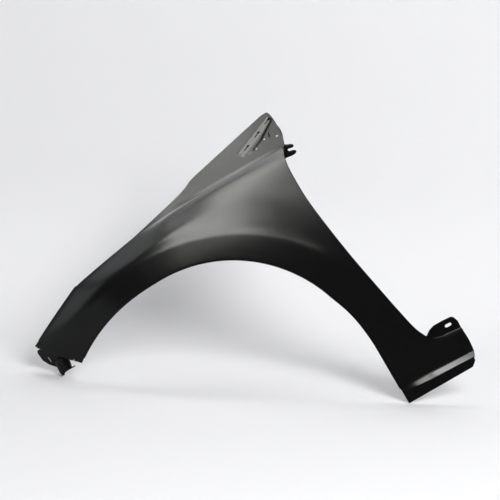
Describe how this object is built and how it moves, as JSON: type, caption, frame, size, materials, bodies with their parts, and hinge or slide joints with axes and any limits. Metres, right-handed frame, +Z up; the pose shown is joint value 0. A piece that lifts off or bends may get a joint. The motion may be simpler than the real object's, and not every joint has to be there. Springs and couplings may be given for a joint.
{
  "type": "car fender",
  "caption": "Pressed steel front fender of a small car, with flared wheel arch, return flanges, bumper bracket and forked pillar bracket.",
  "frame": {"origin": "inboard flat face of the sill tab, beside its bolt slot", "axes": "+X towards the rear of the car, +Y inboard, +Z up in the car"},
  "size_m": [0.9112, 0.2061, 0.7393],
  "materials": {
    "satin_primer": "satin black electrocoat",
    "bracket_coat": "semi-gloss black coat"
  },
  "bodies": {
    "root": {"fender_panel": "satin_primer", "front_bumper_bracket": "bracket_coat", "pillar_fork_bracket": "bracket_coat"}
  },
  "joints": []
}
